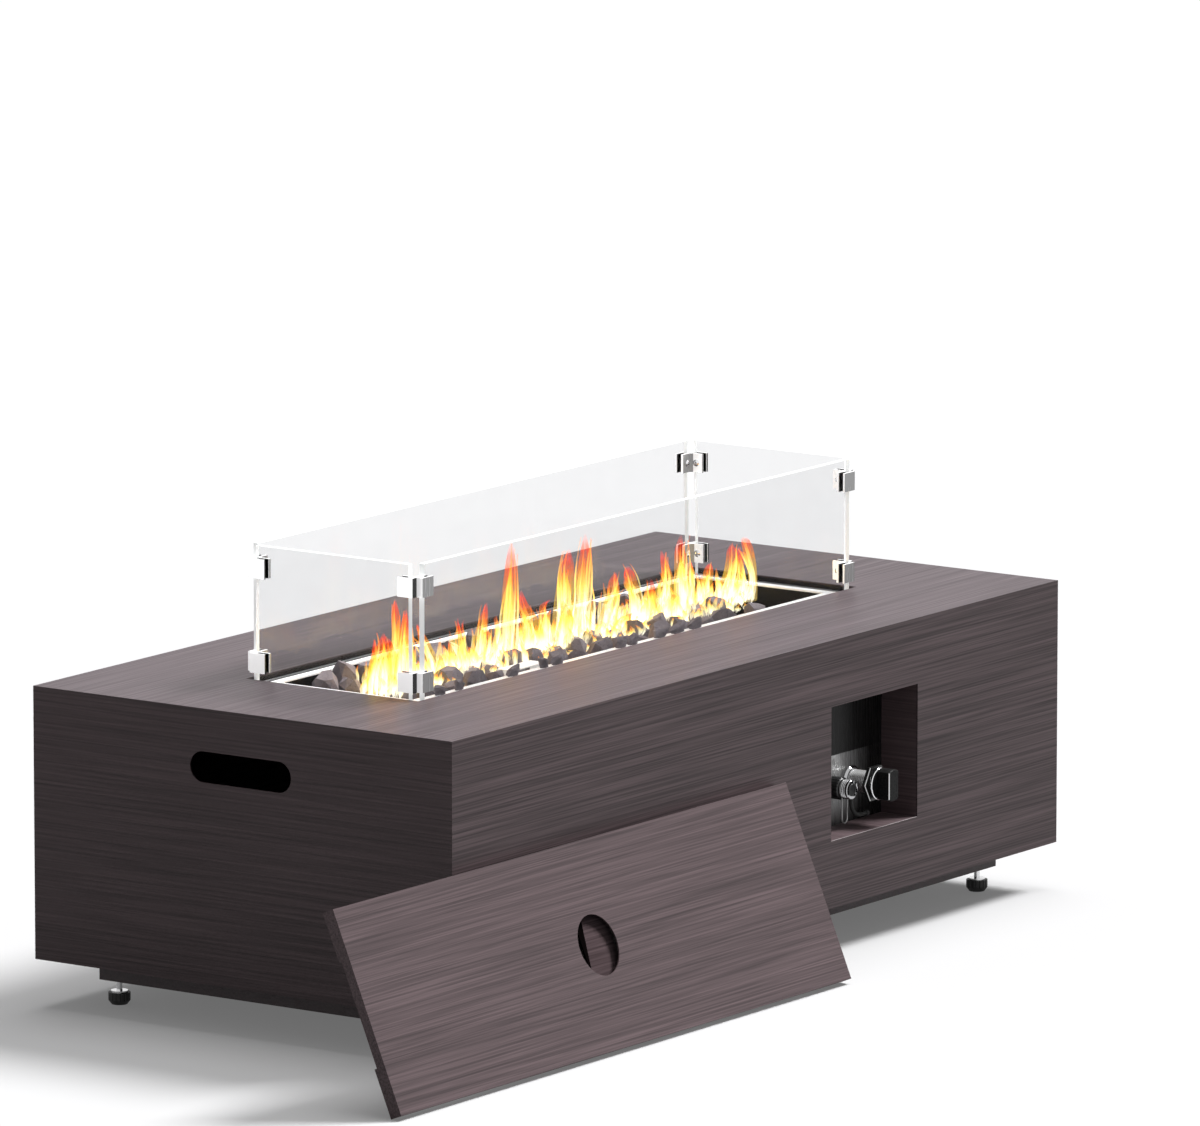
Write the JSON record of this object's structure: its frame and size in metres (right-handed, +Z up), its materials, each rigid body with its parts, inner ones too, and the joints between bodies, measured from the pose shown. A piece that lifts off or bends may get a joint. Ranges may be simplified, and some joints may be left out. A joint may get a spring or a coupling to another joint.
{
  "type": "fire pit table",
  "caption": "Low gas fire pit table with wood-grain steel casing, glass wind guard, burner with lava rock, recessed gas control and a lift-off lid leaning on its front",
  "frame": {"origin": "on the floor under the centre of the table body", "axes": "+X to the right along the table's long side, seen from the control side; -Y out of the front face with the control recess; +Z up"},
  "size_m": [1.278, 0.5978, 0.456],
  "materials": {
    "grained_casing": "dark wood-grain powder coat, satin",
    "black_steel": "black powder coat, matt",
    "stainless_steel": "satin",
    "ceramic": "glazed ceramic",
    "lava_rock": "rough stone",
    "zinc_steel": "bright zinc",
    "foot_plastic": "matt",
    "brass": "satin",
    "chrome": "polished",
    "black_plastic": "gloss",
    "clear_glass": "clear",
    "pad_rubber": "matt"
  },
  "bodies": {
    "table": {"top_panel": "grained_casing", "front_panel": "grained_casing", "back_panel": "grained_casing", "left_end_panel": "grained_casing", "right_end_panel": "grained_casing", "base_plate": "black_steel", "corner_posts": "black_steel", "ledge_frame": "stainless_steel", "burner_pan": "black_steel", "burner_tube": "stainless_steel", "burner_saddles": "stainless_steel", "pilot_hood": "stainless_steel", "spark_electrode": "ceramic", "flame_probe": "stainless_steel", "lava_rocks": "lava_rock", "plinth_frame": "grained_casing", "foot_inserts": "zinc_steel", "control_box": "grained_casing", "control_panel": "stainless_steel", "panel_screws": "zinc_steel", "valve_body": "stainless_steel", "valve_bell": "chrome", "valve_nut": "chrome", "gas_inlet": "brass", "inlet_tube": "stainless_steel", "burner_feed_tube": "stainless_steel", "igniter_body": "black_plastic", "igniter_collar": "chrome", "igniter_nut": "black_plastic", "igniter_hook": "pad_rubber"},
    "valve_plug": {"valve_plug": "brass"},
    "knob": {"valve_stem": "chrome", "knob_trim": "chrome", "control_knob": "black_plastic"},
    "igniter_button": {"igniter_button": "black_plastic"},
    "rod_holder": {"rod_holder": "stainless_steel"},
    "wind_guard": {"glass_front": "clear_glass", "glass_back": "clear_glass", "glass_left": "clear_glass", "glass_right": "clear_glass", "clamps_front_left": "chrome", "clamps_front_right": "chrome", "clamps_back_right": "chrome", "clamps_back_left": "chrome", "clamp_screws": "chrome", "clamp_pads": "pad_rubber"},
    "lid": {"lid_panel": "grained_casing", "lid_finger_plate": "grained_casing"},
    "foot_front_left": {"foot_cap_front_left": "foot_plastic", "foot_stud_front_left": "zinc_steel"},
    "foot_front_right": {"foot_cap_front_right": "foot_plastic", "foot_stud_front_right": "zinc_steel"},
    "foot_back_left": {"foot_cap_back_left": "foot_plastic", "foot_stud_back_left": "zinc_steel"},
    "foot_back_right": {"foot_cap_back_right": "foot_plastic", "foot_stud_back_right": "zinc_steel"}
  },
  "joints": [
    {"name": "valve_turn", "type": "hinge", "parent": "table", "child": "valve_plug", "pos_m": [0.2185, -0.209, 0.159], "axis": [0, -1, 0], "range_deg": [-180, 0]},
    {"name": "knob_push", "type": "slide", "parent": "valve_plug", "child": "knob", "axis": [0, 1, 0], "range_m": [0, 0.003], "stiffness_N_per_m": 1500, "springref_m": -0.002},
    {"name": "igniter_push", "type": "slide", "parent": "table", "child": "igniter_button", "axis": [0, 1, 0], "range_m": [0, 0.0035], "stiffness_N_per_m": 1500, "springref_m": -0.002},
    {"name": "holder_swing", "type": "hinge", "parent": "table", "child": "rod_holder", "pos_m": [0.184, -0.2248, 0.157], "axis": [0, -1, 0], "range_deg": [-40, 40]},
    {"name": "guard_lift", "type": "slide", "parent": "table", "child": "wind_guard", "axis": [0, 0, 1], "range_m": [0, 0.16]},
    {"name": "lid_lift", "type": "slide", "parent": "table", "child": "lid", "axis": [0, 0, 1], "range_m": [0, 0.25]},
    {"name": "foot_front_left_level", "type": "slide", "parent": "table", "child": "foot_front_left", "axis": [0, 0, 1], "range_m": [-0.006, 0.007]},
    {"name": "foot_front_right_level", "type": "slide", "parent": "table", "child": "foot_front_right", "axis": [0, 0, 1], "range_m": [-0.006, 0.007]},
    {"name": "foot_back_left_level", "type": "slide", "parent": "table", "child": "foot_back_left", "axis": [0, 0, 1], "range_m": [-0.006, 0.007]},
    {"name": "foot_back_right_level", "type": "slide", "parent": "table", "child": "foot_back_right", "axis": [0, 0, 1], "range_m": [-0.006, 0.007]}
  ]
}
